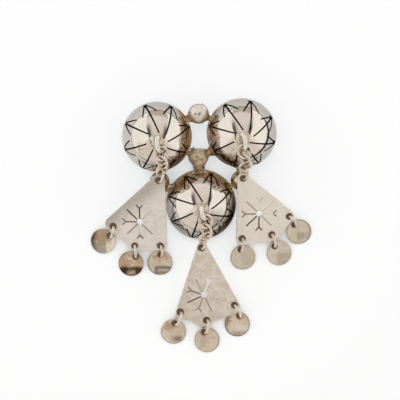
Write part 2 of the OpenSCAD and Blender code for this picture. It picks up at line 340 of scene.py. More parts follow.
# the three plates differ in tone: greyer on the left one, brown clouds on the middle one
PLATE_TONES = {"left": (colour(0.99, 0.95, 0.88), colour(0.90, 0.85, 0.78), 230.0, 1.1),
               "right": (colour(1.0, 0.97, 0.89), colour(0.96, 0.91, 0.82), 200.0, 1.0),
               "middle": (colour(0.96, 0.90, 0.80), colour(0.83, 0.745, 0.65), 430.0, 0.9)}
satin = {side: silver("satin_" + side, bright, dull, 0.42, 0.03, scratch=0.25, patch=patch, mottle=mottle,
                      stain=colour(0.50, 0.37, 0.26), dark=colour(0.11, 0.06, 0.03), metal=0.55)
         for side, (bright, dull, patch, mottle) in PLATE_TONES.items()}
toned = silver("toned_silver", colour(1.0, 0.95, 0.83), colour(0.93, 0.81, 0.63), 0.32, 0.03, scratch=0.15,
               stain=colour(0.64, 0.47, 0.31), dark=colour(0.06, 0.045, 0.03), patch=260.0, mottle=1.0,
               metal=0.65, pitted=2.0)
print("silver finishes:", [m.name for m in bpy.data.materials if m.use_nodes])

# %% [markdown]
# ## Making meshes from numbers
# Most pieces here are turned or drawn: a profile spun round an axis, or a round wire that follows
# a path. Two short helpers make both as points and faces, and a third turns them into a named object.

# %% Helpers for turned and drawn pieces
def new_object(name, points, faces):
    mesh = bpy.data.meshes.new(name)
    mesh.from_pydata([tuple(p * MM) for p in np.asarray(points, float)], [], faces)
    mesh.validate()
    mesh.update()
    made = bpy.data.objects.new(name, mesh)
    bpy.context.scene.collection.objects.link(made)
    return made


def turned(profile, around=48):
    """Points and faces of a profile, (radius, height) from top to bottom, spun about Z."""
    points, rows = [], []
    for radius, height in profile:
        if radius < 1e-6:
            rows.append([len(points)] * around)
            points.append((0, 0, height))
        else:
            rows.append(list(range(len(points), len(points) + around)))
            for i in range(around):
                angle = 2 * math.pi * i / around
                points.append((radius * math.cos(angle), radius * math.sin(angle), height))
    faces = []
    for upper, lower in zip(rows, rows[1:]):
        for i in range(around):
            j = (i + 1) % around
            face = [upper[i], lower[i], lower[j], upper[j]]
            face = [v for n, v in enumerate(face) if v not in face[:n]]
            if len(face) > 2:
                faces.append(face)
    return np.array(points, float), faces


def tube_faces(rows, sides, closed=True):
    """Faces between rows of points round a bar or wire, whose ends meet if it is closed."""
    faces = []
    for i in range(rows if closed else rows - 1):
        for s in range(sides):
            a, b, t = i * sides, (i + 1) % rows * sides, (s + 1) % sides
            faces.append([a + s, a + t, b + t, b + s])
    return faces


def drawn(path, radii, normal, sides=16):
    """Points and faces of a closed wire along a flat loop of points."""
    path = np.asarray(path, float)
    count = len(path)
    ahead = np.roll(path, -1, axis=0) - np.roll(path, 1, axis=0)
    ahead /= np.linalg.norm(ahead, axis=1)[:, None]
    outward = np.cross(ahead, normal)
    outward /= np.linalg.norm(outward, axis=1)[:, None]
    points = []
    for p, out, r in zip(path, outward, radii):
        for s in range(sides):
            angle = 2 * math.pi * s / sides
            points.append(p + r * (math.cos(angle) * out + math.sin(angle) * np.asarray(normal)))
    return np.array(points), tube_faces(count, sides)


def moved(points, matrix):
    return np.array([matrix @ Vector(p) for p in points], float)


# %% [markdown]
# ## Finishing a piece
# A piece is done when it has its metal, smooth shading and its place in the frame. That could be
# written out for each piece, but so many copies would soon differ. The masks are treated alike: a
# helper writes them as one number for each point of the mesh, where the shader can read them.

# %% Helpers for finishes and masks
def finish_piece(piece, material, slot, *stands_for):
    piece.data.materials.clear()
    piece.data.materials.append(material)
    for face in piece.data.polygons:
        face.use_smooth = True
    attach(piece, "root")
    if stands_for:
        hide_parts(*stands_for)


def finish_frame_piece(piece, material):
    """Finishes a piece that is soldered to the frame."""
    finish_piece(piece, material, "polished_silver", "brooch_frame")


def join_pieces(first, *others):
    with bpy.context.temp_override(active_object=first, selected_editable_objects=[first, *others]):
        bpy.ops.object.join()


def write_attribute(piece, name, amounts):
    held = piece.data.attributes.new(name, "FLOAT", "POINT")
    held.data.foreach_set("value", np.clip(np.asarray(amounts, np.float32), 0, 1))


def own_points(piece):
    co = np.zeros(len(piece.data.vertices) * 3, np.float32)
    piece.data.vertices.foreach_get("co", co)
    return co.reshape(-1, 3).astype(float)


def points_mm(piece):
    return own_points(piece) / MM


# %% [markdown]
# ## The floor and a lamp overhead
# The brooch lies on white paper that came out almost pure white, even in the openings between the
# domes, so the paper glows a little, as on a light table. Where pieces lie close the glow is dimmed,
# a painted shadow. Past the edge of the view it falls away gently. That lowers the horizon, and the
# soft boxes then reach further down the domes, as they do in the photograph. A wide lamp overhead
# gives the faint soft shadows as well.

# %% White paper
FLAT_TO = 48.0
FALL = 0.25
PAPER_END = 1500.0


def paper_profile(curve=0.006):
    """Radius and height from the middle outwards: flat, then bending down to a steady fall."""
    turn_end = FLAT_TO + FALL / (2 * curve)
    radii = [FLAT_TO * i / 6 for i in range(7)]
    radii += [FLAT_TO + (turn_end - FLAT_TO) * i / 12 for i in range(1, 13)]
    profile = [(r, -curve * max(r - FLAT_TO, 0) ** 2) for r in radii]
    profile.append((PAPER_END, profile[-1][1] - FALL * (PAPER_END - turn_end)))
    return profile


def white_paper(glow, white):
    points, faces = turned(paper_profile(), around=96)
    points += (0, 3.0, -0.02)
    paper = new_object("paper", points, [list(reversed(face)) for face in faces])
    material = bpy.data.materials.new("paper")
    material.use_nodes = True
    tree = material.node_tree
    shader = tree.nodes["Principled BSDF"]
    shader.inputs["Base Color"].default_value = colour(white, white, white)
    shader.inputs["Roughness"].default_value = 0.9
    shader.inputs["Specular IOR Level"].default_value = 0.1
    # painted shadow: the glow dims where pieces lie close above the paper
    open_air = add_node(tree, "ShaderNodeAmbientOcclusion", {"Distance": 5.2 * MM}, samples=16)
    lit = step(tree, open_air.outputs["AO"], 0.0, 0.85, 0.10, 1.0)
    join(tree, shader.inputs["Emission Color"], blend(tree, lit, colour(0.03, 0.03, 0.03), colour(*glow)))
    shader.inputs["Emission Strength"].default_value = 1.0
    paper.data.materials.append(material)
    for face in paper.data.polygons:
        face.use_smooth = True


def overhead_lamp(power, width=0.9, height=1.3):
    lamp = bpy.data.objects.new("overhead", bpy.data.lights.new("overhead", "AREA"))
    lamp.data.size = width
    lamp.data.energy = power
    lamp.location = (-0.15, 0.1, height)
    lamp.visible_glossy = False
    lamp.visible_camera = False
    bpy.context.scene.collection.objects.link(lamp)


white_paper(glow=(0.545, 0.57, 0.585), white=0.50)
overhead_lamp(power=3.2)
bpy.context.scene.view_settings.view_transform = "Standard"
bpy.context.scene.view_settings.look = "None"
print("the paper's edge lies", round(-paper_profile()[-1][1]), "mm below its middle")

# %% [markdown]
# ## Where the domes are
# The three domes, the four balls and the solder between them lean together on the pin's fittings
# behind, so they are laid out flat and then turned as one. The numbers are those of the frame.

# %% Measures of the soldered frame
DOME_R = 11.2
DOME_SHEET = 0.6
BACK_SHEET = 0.5
LEAN = math.radians(8)
PIVOT_Y = -4.4
BALL_HEIGHT = 2.6
LIFT = Vector((0, 0, BALL_HEIGHT))
# x and y of the centre seen from above, turn of the cuts in degrees
DOMES = {"left": (-14.1, 28.3, -2), "right": (13.0, 29.4, 8), "middle": (0.0, 6.7, 6)}
# x and y seen from above, radius
BALLS = {"top": (-0.8, 35.5, 3.3), "centre": (-0.8, 21.8, 3.3), "lower_left": (-13.3, 13.8, 3.2),
         "lower_right": (12.6, 14.2, 3.2)}
# ball, dome, radius of the neck of solder
NECKS = (("top", "left", 1.1), ("top", "right", 1.1), ("centre", "left", 1.5), ("centre", "right", 1.5),
         ("centre", "middle", 1.8), ("lower_left", "left", 1.3), ("lower_left", "middle", 1.5),
         ("lower_right", "right", 1.4), ("lower_right", "middle", 1.4))
laid = Matrix.Translation((0, PIVOT_Y, 0)) @ Matrix.Rotation(LEAN, 4, "X")


def on_back(x, y, height=0.0):
    """The place in the frame's own axes of what shows at x, y from above."""
    return Vector((x, (y - PIVOT_Y + height * math.sin(LEAN)) / math.cos(LEAN), height))


dome_at = {side: on_back(x, y) for side, (x, y, turn) in DOMES.items()}
ball_at = {name: on_back(x, y, BALL_HEIGHT) for name, (x, y, radius) in BALLS.items()}


def to_dome(ball, side):
    """From the middle of a ball to the upright axis of a dome, level with the balls."""
    return dome_at[side] + LIFT - ball_at[ball]


print("dome centres, laid down:", {s: [round(c, 1) for c in laid @ p] for s, p in dome_at.items()})

# %% [markdown]
# ## A hammered dome
# A dome is beaten from sheet over a stake, so it is nearly a half ball, with slow swellings that
# bend every reflection a little. A sculpted texture could fake that, but then the rim and the cuts
# would stay perfect. Here a sum of a few waves moves the sheet itself, and the same sum gives the
# exact direction that the surface faces, for clean reflections later on.

# %% Swellings of the sheet
DOME_ROWS = 64
DOME_AROUND = 192


def waves(seed, count=9, low=2.5, high=9.0, amount=0.02):
    rng = np.random.default_rng(seed)
    ways = rng.normal(size=(count, 3))
    ways /= np.linalg.norm(ways, axis=1)[:, None]
    speed = rng.uniform(low, high, count)
    return ways * speed[:, None], rng.uniform(0, 2 * math.pi, count), amount * (low / speed)


def swelling(ways, directions):
    """How far the sheet stands out, and how that changes over the surface."""
    bends, phases, amounts = ways
    angle = directions @ bends.T + phases
    rise = (amounts * np.sin(angle)).sum(1)
    slope = (amounts * np.cos(angle)) @ bends
    slope -= directions * (slope * directions).sum(1)[:, None]
    return rise, slope


def dome_shell(seed):
    """A hollow half ball with a flat back, as points and faces."""
    angles = [math.radians(90 * i / DOME_ROWS) for i in range(DOME_ROWS + 1)]
    outer = [(DOME_R * math.sin(a), DOME_R * math.cos(a)) for a in angles]
    back = [(DOME_R * f, 0.0) for f in (0.985, 0.9, 0.75, 0.6, 0.45, 0.3, 0.15, 0.0)]
    points, faces = turned(outer + back, around=DOME_AROUND)
    length = np.linalg.norm(points, axis=1)
    skin = length > DOME_R - 1e-4
    rise, slope = swelling(waves(seed), points[skin] / length[skin][:, None])
    fade = np.clip(points[skin][:, 2] / 2.0, 0, 1)
    points[skin] *= (1 - (0.012 - rise * fade) / DOME_R)[:, None]
    inner_r = DOME_R - DOME_SHEET
    rim = math.acos(BACK_SHEET / inner_r)
    hollow = [(inner_r * math.sin(rim * i / 24), inner_r * math.cos(rim * i / 24)) for i in range(25)]
    inside, inside_faces = turned(hollow + [(0.0, BACK_SHEET)], around=96)
    start = len(points)
    faces += [[start + v for v in reversed(face)] for face in inside_faces]
    return np.vstack([points, inside]), faces


# %% [markdown]
# ## Sawn stars
# The ornament is sawn with a fine blade. Each cut starts at a notch near the rim and sends three
# lines up the dome, a long one to the collar and a short one on each side. A carved line in a
# bump map would show no depth from the side, so the lines are cut right through the sheet. The
# saw's path wavers and narrows a little towards its end, and so do the cutters.

# %% Cutters for one dome
SAW = 0.58
CUTS = 8
# angle from the top down to the root of each cut
CUT_ROOT = {"left": 77, "right": 75, "middle": 74}
LONG_LINE = math.radians(62)
SHORT_LINE = math.radians(32)
SPREAD = math.radians(26)
# the saw went on a little further in the cut beside the loop
TO_THE_LOOP = 1.08


def saw_line(bearing, reach, waver, steps=10):
    """A curved slab through the sheet, from the root straight up along the ball."""
    heading = np.array([-math.cos(bearing), -math.sin(bearing), 0.0])
    across = np.array([math.sin(bearing), -math.cos(bearing), 0.0])
    points = []
    for i in range(steps + 1):
        along = i / steps
        angle = reach * along
        way = math.sin(angle) * heading + math.cos(angle) * np.array([0, 0, 1.0])
        half = SAW / 2 * (1.1 - 0.3 * along)
        drift = waver * math.sin(math.pi * along) * DOME_R
        for radius in (DOME_R - 1.4, DOME_R + 1.0):
            for edge in (-half, half):
                points.append(way * radius + across * (edge + drift))
    faces = [[0, 1, 3, 2], [4 * steps, 4 * steps + 2, 4 * steps + 3, 4 * steps + 1]]
    for i in range(steps):
        a, b = 4 * i, 4 * i + 4
        faces += [[a, a + 2, b + 2, b], [a + 1, b + 1, b + 3, a + 3]]
        faces += [[a, b, b + 1, a + 1], [a + 2, a + 3, b + 3, b + 2]]
    return np.array(points), faces


def notch():
    outline = [(0.5, -0.95), (0.5, 0.95), (-1.4, 0.4), (-1.4, -0.4)]
    points = [(x, y, DOME_R - 1.6) for x, y in outline] + [(x, y, DOME_R + 1.2) for x, y in outline]
    faces = [[3, 2, 1, 0], [4, 5, 6, 7]] + [[i, (i + 1) % 4, 4 + (i + 1) % 4, 4 + i] for i in range(4)]
    return np.array(points, float), faces


def dome_cutters(side, turn, seed):
    rng = np.random.default_rng(seed)
    cutters = []
    for i in range(CUTS):
        bearing = math.radians(90 + turn + (i + 0.5) * 360 / CUTS)
        # the cuts turn a little on their roots, most at the upper right
        aim = math.radians(5) + math.radians(6) * math.cos(bearing - math.radians(65))
        place = Matrix.Rotation(bearing, 4, "Z") @ Matrix.Rotation(math.radians(CUT_ROOT[side]), 4, "Y")
        place = place @ Matrix.Rotation(aim, 4, "Z")
        long_line = LONG_LINE * (TO_THE_LOOP if i == 0 else 1.0)
        lines = [(0.0, long_line, 0.004), (SPREAD, SHORT_LINE, 0.010), (-SPREAD, SHORT_LINE, 0.010)]
        forms = [saw_line(b, reach * rng.uniform(0.94, 1.0), rng.normal(0, w)) for b, reach, w in lines]
        forms.append(notch())
        for points, faces in forms:
            cutter = new_object("cutter", moved(points, place), faces)
            make_outward(cutter)
            cutters.append(cutter)
    return cutters


def make_outward(piece):
    shape = bmesh.new()
    shape.from_mesh(piece.data)
    bmesh.ops.recalc_face_normals(shape, faces=shape.faces)
    shape.to_mesh(piece.data)
    shape.free()


print("cutters for each dome:", CUTS * 4)


# %% [markdown]
# ## Cutting and facing the dome
# A cut leaves long thin triangles beside each line, and plain smooth shading would smear them over
# the mirror finish. So after the cuts, every corner on the outer skin is told which way the sheet
# really faces there. The walls of the cuts keep their own flat direction, and stay crisp.

# %% Cut, then face the skin
def cut_with(piece, cutters):
    for cutter in cutters:
        cut = piece.modifiers.new("cut", "BOOLEAN")
        cut.operation = "DIFFERENCE"
        cut.solver = "MANIFOLD"
        cut.object = cutter
    apply_modifiers(piece)
    for cutter in cutters:
        bpy.data.objects.remove(cutter)


def apply_modifiers(piece):
    seen = piece.evaluated_get(bpy.context.evaluated_depsgraph_get())
    made = bpy.data.meshes.new_from_object(seen)
    piece.modifiers.clear()
    piece.data = made


def face_the_skin(piece, seed):
    """Gives the outer skin its true directions, and every other face its own."""
    mesh = piece.data
    spots = points_mm(piece)
    length = np.linalg.norm(spots, axis=1)
    on_skin = (length > DOME_R - 0.08) & (spots[:, 2] > 0.02)
    ways = spots / np.maximum(length, 1e-6)[:, None]
    rise, slope = swelling(waves(seed), ways)
    facing = ways - slope / DOME_R * np.clip(spots[:, 2:3] / 2.0, 0, 1)
    facing /= np.maximum(np.linalg.norm(facing, axis=1), 1e-6)[:, None]
    directions = []
    for face in mesh.polygons:
        face.use_smooth = True
        outwards = Vector(ways[face.vertices[0]]).dot(face.normal) > 0.7
        outer = outwards and all(on_skin[v] for v in face.vertices)
        for v in face.vertices:
            directions.append(tuple(facing[v]) if outer else tuple(face.normal))
    mesh.normals_split_custom_set(directions)


# %% [markdown]
# ## Tarnish in the corners, and painted shade
# Tarnish gathers where a cloth can't reach: round the solder, between the domes and low on their
# sides. It could be painted by hand on the mesh. Here a table says, all round each dome, how far
# down its border runs, and a few waves draw that border out into drips. A second table paints
# shade on the steep sides that face other pieces. Both end up as masks that the shader reads.

# %% Where each dome is stained
# bearing from the right and, at it, the angle from the top down to the border of the tarnish
TARNISH = {
    "left": ((-180, 96), (-110, 92), (-85, 76), (-58, 60), (-30, 54), (0, 48), (25, 52), (42, 62),
             (55, 86), (70, 96), (180, 96)),
    "right": ((-180, 42), (-160, 46), (-145, 54), (-125, 62), (-105, 70), (-85, 78), (-70, 90), (-50, 96),
              (120, 96), (140, 74), (155, 54), (170, 44), (180, 42)),
    "middle": ((-180, 78), (-150, 76), (-120, 80), (-90, 82), (-60, 74), (-30, 66), (0, 64), (18, 68),
               (28, 60), (41, 48), (60, 49), (78, 57), (104, 57), (120, 50), (140, 46), (158, 58), (172, 74),
               (180, 78)),
}
STRENGTH = {"left": 0.82, "right": 0.58, "middle": 0.86}
# bearing and angle from the top of a faint patch, how brown it is with tarnish and how dark with painted
# shade
DOME_PATCHES = {"left": (-150, 30, 0.30, 0.0), "right": (-120, 34, 0.30, 0.1), "middle": (-38, 34, 0.30, 0.5)}
PATCH_REACH = 4.6
# what the plain flat backs of the domes get instead
BACK_MASKS = {"tarnish": 0.09, "dull_and_shade": 0.4, "shade": 0.2}
# bearing and how dark the painted shade on the steep side is there, where it faces other pieces
SHADE = {
    "left": ((-180, 0), (-85, 0.1), (-60, 0.5), (-40, 0.55), (-10, 0.3), (30, 0.4), (60, 0.15), (180, 0)),
    "right": ((-180, 0.2), (-155, 0.45), (-120, 0.6), (-95, 0.3), (-60, 0.1), (90, 0.12), (115, 0.1),
              (140, 0.35), (180, 0.2)),
    "middle": ((-180, 0.3), (-140, 0.35), (-90, 0.35), (-60, 0.6), (-30, 0.95), (0, 0.95), (40, 0.35),
               (90, 0.15), (140, 0.25), (180, 0.3)),
}


def stain_near(spots, places):
    """How soiled each spot is, from the distance to places given as (point, reach, strength)."""
    amount = np.zeros(len(spots))
    for place, reach, strength in places:
        away = np.linalg.norm(spots - np.asarray(place), axis=1)
        amount = np.maximum(amount, strength * np.clip(1 - away / reach, 0, 1) ** 0.8)
    return amount


def on_dome(bearing, down):
    b, d = math.radians(bearing), math.radians(down)
    return Vector((math.sin(d) * math.cos(b), math.sin(d) * math.sin(b), math.cos(d))) * DOME_R


def look_up(table, bearings):
    """A value all round a dome, from a table of bearings in degrees."""
    at, values = zip(*table)
    return np.interp(np.degrees(bearings), at, values)


def tarnish_on(side, ways, seed):
    """Tarnish on a dome: a border that runs round it, drawn out into drips, and darker to the rim."""
    rng = np.random.default_rng(seed)
    down = np.degrees(np.arccos(np.clip(ways[:, 2], -1, 1)))
    round_it = np.arctan2(ways[:, 1], ways[:, 0])
    border = look_up(TARNISH[side], round_it)
    for turns in (9, 17, 26, 38, 55):
        size = rng.uniform(0.8, 1.4) * 9 / math.sqrt(turns)
        border += size * np.sin(turns * round_it + rng.uniform(0, 6.3)) * 0.6
    inside = down - border
    drips = sum(np.sin(turns * round_it + rng.uniform(0, 6.3)) for turns in (31, 47, 68, 83)) / 4
    amount = np.clip(inside / 9 + 0.3, 0, 0.55) + np.clip(inside / 70, 0, 0.2) + 0.3 * drips * (inside > 0)
    return np.where(inside > -4, amount * STRENGTH[side], 0)


print("tarnish reaches up, in degrees from the top:", {s: min(d for b, d in TARNISH[s]) for s in SIDES})


# %% [markdown]
# ## Putting a dome together
# Each dome goes through the steps of the bench: raised, sawn, smoothed, and stained last, with
# painted shade laid on too. One dome could be copied three times, but then all would share their
# swellings and the wandering of the saw, so each has seeds of its own. Its flat back is plain, and
# its inside is painted nearly black, as shade.

# %% Build the three domes
def solder_stains(side):
    """Places where the torch left its mark: under the collar and at each neck of solder."""
    stains = [(Vector((0.6, -1.0, DOME_R)), 3.4, 0.42)]
    for ball, owner, radius in NECKS:
        if owner == side:
            touch = LIFT - to_dome(ball, side).normalized() * (DOME_R - 0.4)
            stains.append((touch, 4.2 if ball != "top" else 3.4, 1.1))
    return stains


def write_dome_masks(dome, side, seed):
    """Tarnish, and painted shade on the steep flanks and on the sides that face other pieces. The flat back
    is even, and the inside is painted dark as shade.
    """
    spots = points_mm(dome)
    away = np.linalg.norm(spots, axis=1)
    ways = spots / np.maximum(away, 1e-6)[:, None]
    back = spots[:, 2] < 0.05
    bearing, down, brown, dark = DOME_PATCHES[side]
    patch = on_dome(bearing, down)
    stains = solder_stains(side) + [(patch, PATCH_REACH, brown)]
    tarnish = np.maximum(stain_near(spots, stains), tarnish_on(side, ways, seed))
    steep = np.degrees(np.arccos(np.clip((ways @ np.array(laid.to_3x3().transposed()))[:, 2], -1, 1)))
    facing_pieces = look_up(SHADE[side], np.arctan2(ways[:, 1], ways[:, 0]))
    # painted shade on the steep sides that face other pieces, and on the dark patch
    outside = np.maximum(facing_pieces * np.clip((steep - 49) / 15, 0, 1),
                         stain_near(spots, [(patch, PATCH_REACH, dark)]))
    # the hollow inside is painted dark, as shade
    within = away < DOME_R - 0.2
    # the steep flanks turn greyer with painted shade
    dull_and_shade = np.clip((steep - 45) / 6, 0, 1)
    masks = {"tarnish": tarnish, "dull_and_shade": dull_and_shade, "shade": np.where(within, 1.0, outside)}
    for name, amounts in masks.items():
        write_attribute(dome, name, np.where(back, BACK_MASKS[name], amounts))


def build_dome(number, side):
    points, faces = dome_shell(number)
    dome = new_object("dome_" + side, points, faces)
    cut_with(dome, dome_cutters(side, DOMES[side][2], 40 + number))
    face_the_skin(dome, number)
    write_dome_masks(dome, side, 30 + number)
    # laid down in millimetres and then turned back into metres
    dome.data.transform(Matrix.Diagonal((1 / MM, 1 / MM, 1 / MM, 1)))
    dome.data.transform(Matrix.Diagonal((MM, MM, MM, 1)) @ laid @ Matrix.Translation(dome_at[side]))
    finish_frame_piece(dome, polished)
    print("dome", side, "faces", len(dome.data.polygons))


for number, side in enumerate(SIDES, 1):
    build_dome(number, side)

# %% [markdown]
# ## Balls between the domes
# Four balls hold the domes apart. The top one is rubbed bright, with two dark spots that are painted
# reflections, and the one in the middle is a rough casting that is squeezed flat on one side. Each
# ball's steep sides are darkened with painted shade. A ready-made sphere would be too even, so each
# ball is a turned profile with the same kind of swelling as the domes.

# %% Make the balls
def ball_form(radius, seed, flat=None, amount=0.05):
    rows = 36
    angles = [math.pi * i / rows for i in range(rows + 1)]
    points, faces = turned([(radius * math.sin(a), radius * math.cos(a)) for a in angles], around=56)
    rise, slope = swelling(waves(seed, amount=amount, low=2.0, high=6.0), points / radius)
    points *= (1 - (0.05 - rise) / radius)[:, None]
    if flat:
        limit = flat * radius
        over = points[:, 1] > limit
        points[over, 1] = limit + (points[over, 1] - limit) * 0.18
        points[:, 0] *= 1.0 + 0.05 * np.clip(points[:, 1] / radius, 0, 1)
    return points, faces


def build_ball(name, seed, material, flat=None, soiled=0.15, turns_dark=(48, 10), reflection_spots=()):
    radius = BALLS[name][2]
    points, faces = ball_form(radius, seed, flat)
    ball = new_object("ball_" + name, moved(points, laid @ Matrix.Translation(ball_at[name])), faces)
    make_outward(ball)
    spots = points_mm(ball)
    joints = []
    for owner, side, neck in NECKS:
        if owner == name:
            touch = ball_at[name] + to_dome(name, side).normalized() * radius
            joints.append((laid @ touch, 2.4, 0.9))
    write_attribute(ball, "tarnish", np.maximum(stain_near(spots, joints), soiled))
    ways = (spots - np.array(laid @ ball_at[name])) / radius
    steep = np.degrees(np.arccos(np.clip(ways[:, 2], -1, 1)))
    start, soft = turns_dark
    # painted shade, darker down the steep sides and most towards the bottom
    shade = np.clip((steep - start - 7) / (2 * soft), 0, 1) * (0.6 - 0.25 * np.clip(ways[:, 1], -1, 1))
    # the dark spots are painted reflections
    marks = [(laid @ (ball_at[name] + Vector(spot)), 0.58, 1.0) for spot in reflection_spots]
    # greyer steep sides, painted shade
    write_attribute(ball, "dull_and_shade", np.clip((steep - start) / soft, 0, 1))
    write_attribute(ball, "shade", np.maximum(shade, stain_near(spots, marks)))
    finish_frame_piece(ball, material)


# two painted reflections on the top ball, as dark spots
build_ball("top", 11, rubbed, soiled=0.05, turns_dark=(52, 10),
           reflection_spots=((-1.05, 0.2, 3.1), (0.25, 0.25, 3.25)))
build_ball("centre", 12, cast, flat=0.72, soiled=0.12, turns_dark=(66, 9))
build_ball("lower_left", 13, soldered)
build_ball("lower_right", 14, soldered)


def build_nub(radius=0.42):
    """A bead of solder that was left on the top ball."""
    points, faces = ball_form(radius, 15, amount=0.03)
    place = laid @ Matrix.Translation(ball_at["top"] + Vector((1.25, 2.95, 0.3)))
    nub = new_object("top_nub", moved(points, place), faces)
    finish_frame_piece(nub, soldered)


build_nub()
print("balls:", len(BALLS), "and a nub of solder")

# %% [markdown]
# ## Solder in the joins
# Molten solder climbs both surfaces, so a join is thinnest in the middle and flares out on each
# side. A straight rod would look pushed in. The profile below is that flare, spun about the line
# from ball to dome, with swellings for the lumps that a torch leaves.

# %% Flow the solder
def solder_fillet(gap, neck, ball_r, flow, steps=14):
    """Profile from inside the ball to inside the dome: two hollow curves that meet in a waist."""
    ball_edge = neck + flow
    start = -(ball_r - math.sqrt(ball_r ** 2 - ball_edge ** 2))
    end = gap + DOME_R - math.sqrt(DOME_R ** 2 - (neck + 1.25 * flow) ** 2)
    waist = 0.45 * gap
    profile = [(0.0, start - 0.6), (ball_edge * 0.96, start - 0.25)]
    for i in range(steps + 1):
        turn = math.pi / 2 * i / steps
        profile.append((neck + flow * (1 - math.sin(turn)), start + (waist - start) * (1 - math.cos(turn))))
    for i in range(1, steps + 1):
        turn = math.pi / 2 * i / steps
        profile.append((neck + 1.25 * flow * (1 - math.cos(turn)), waist + (end - waist) * math.sin(turn)))
    profile += [((neck + 1.25 * flow) * 0.97, end + 0.3), (0.0, end + 0.6)]
    return profile


def build_solder(ball, side, neck, seed):
    towards = to_dome(ball, side)
    skin = math.sqrt(DOME_R ** 2 - BALL_HEIGHT ** 2)
    gap = towards.length - skin - BALLS[ball][2]
    flow = 0.85 if ball == "top" else 0.6
    points, faces = turned(solder_fillet(gap, neck * 0.9, BALLS[ball][2], flow), around=56)
    rise, slope = swelling(waves(seed, count=14, amount=0.16, low=1.2, high=4.5), points)
    spread = np.linalg.norm(points[:, :2], axis=1)
    points[:, :2] *= (1 + rise / np.maximum(spread, 0.6))[:, None]
    turn = towards.to_track_quat("Z", "Y").to_matrix().to_4x4()
    start = ball_at[ball] + towards.normalized() * BALLS[ball][2]
    place = laid @ Matrix.Translation(start) @ turn
    solder = new_object("solder_%s_%s" % (ball, side), moved(points, place), faces)
    make_outward(solder)
    write_attribute(solder, "tarnish", np.clip(0.45 + 2.5 * rise, 0, 1))
    finish_frame_piece(solder, soldered)


for seed, (ball, side, neck) in enumerate(NECKS, 60):
    build_solder(ball, side, neck, seed)
print("solder joins:", len(NECKS))

# %% [markdown]
# ## Collars
# On each dome sits a small round seat of solder for a loop. A washer would show a hard edge all
# round it. A turned profile, laid on the ball's curve, can end in a hollow curve instead, and a few
# swellings make it as uneven as a torch does.

# %% Shape the collars
COLLAR_R = 2.3
COLLAR_RISE = 0.3


def collar_profile():
    """A low mound: highest in the middle and meeting the dome in a hollow curve."""
    profile = []
    for i in range(25):
        out = COLLAR_R * i / 24
        fade = min(max((out / COLLAR_R - 0.35) / 0.65, 0), 1)
        height = DOME_R + COLLAR_RISE * (1 - fade * fade * (3 - 2 * fade)) - 0.03
        profile.append((height * math.sin(out / DOME_R), height * math.cos(out / DOME_R)))
    profile.append((COLLAR_R * 0.96, DOME_R - 0.9))
    return profile


def build_collar(side, seed):
    points, faces = turned(collar_profile(), around=64)
    rise, slope = swelling(waves(seed, amount=0.10, low=1.0, high=2.6), points)
    spread = np.linalg.norm(points[:, :2], axis=1)
    points[:, :2] *= (1 + rise * np.clip(spread / COLLAR_R, 0, 1) / COLLAR_R)[:, None]
    points[:, 2] += 0.4 * rise * np.clip(1.2 - spread / COLLAR_R, 0, 1)
    collar = new_object("collar_" + side, moved(points, laid @ Matrix.Translation(dome_at[side])), faces)
    write_attribute(collar, "tarnish", 0.42 - 0.3 * np.clip(spread / COLLAR_R, 0, 1))
    finish_frame_piece(collar, seat)


print("collars rise", COLLAR_RISE, "mm above the domes and are", 2 * COLLAR_R, "mm wide")

# %% [markdown]
# ## Loops
# In each collar stands a loop of thick wire, a little longer than it is high and bent over to one
# side, clear of the first chain ring. It could be a whole ring sunk into the dome, but then metal
# would lie inside metal. So only the part above the collar is drawn: the solder swallowed its feet.

# %% Make the collars and loops
LOOP_LONG = 2.22
LOOP_HIGH = 2.08
LOOP_WIRE = 0.72
LOOP_RISE = 0.9
# offset across and along from the dome's top, turn and lean in degrees
LOOPS = {"left": (0.9, -1.0, 12, -16), "right": (0.4, -1.3, 7, 16), "middle": (0.8, -0.8, 14, -12)}


def loop_wire(side, seed, steps=72, sides=20):
    """The loop's arc above the seat, as points and faces with closed ends."""
    across, along, turn, lean = LOOPS[side]
    place = Matrix.Translation((across, along, DOME_R + LOOP_RISE))
    place = place @ Matrix.Rotation(math.radians(turn), 4, "Z")
    place = place @ Matrix.Rotation(math.radians(90 + lean), 4, "Y")
    sunk = math.radians(50)
    points = []
    for i in range(steps + 1):
        angle = sunk + (2 * math.pi - 2 * sunk) * i / steps
        out = Vector((math.cos(angle), math.sin(angle), 0))
        middle = Vector((LOOP_HIGH * out.x, LOOP_LONG * out.y, 0))
        wire = LOOP_WIRE * (0.985 + 0.015 * math.sin(3 * angle + seed))
        for s in range(sides):
            part = 2 * math.pi * s / sides
            spot = middle + out * (wire * math.cos(part)) + Vector((0, 0, 1)) * (wire * math.sin(part))
            points.append(place @ spot)
    faces = tube_faces(steps + 1, sides, closed=False)
    faces += [list(range(sides)), [steps * sides + s for s in reversed(range(sides))]]
    return np.array(points), faces


def build_loop(side, seed):
    points, faces = loop_wire(side, seed)
    loop = new_object("loop_" + side, moved(points, laid @ Matrix.Translation(dome_at[side])), faces)
    make_outward(loop)
    foot = np.clip((DOME_R + 1.5 - points[:, 2]) / 1.6, 0, 1) * 0.7
    write_attribute(loop, "tarnish", foot)
    finish_frame_piece(loop, thick_wire)


for seed, side in enumerate(SIDES, 70):
    build_collar(side, seed)
    build_loop(side, seed)
print("collars and loops:", len(LOOPS))

# %% [markdown]
# ## Hinge, pin and catch
# Behind the two upper domes runs the pin. The photograph hides it, so it is plain: two ears with
# a rivet, a stem with an eye, and a hook that the point springs into. Boxes and cylinders could be
# joined for these, but an outline of a few points, thickened and with its edges broken by a bevel,
# is nearer to what a file leaves.

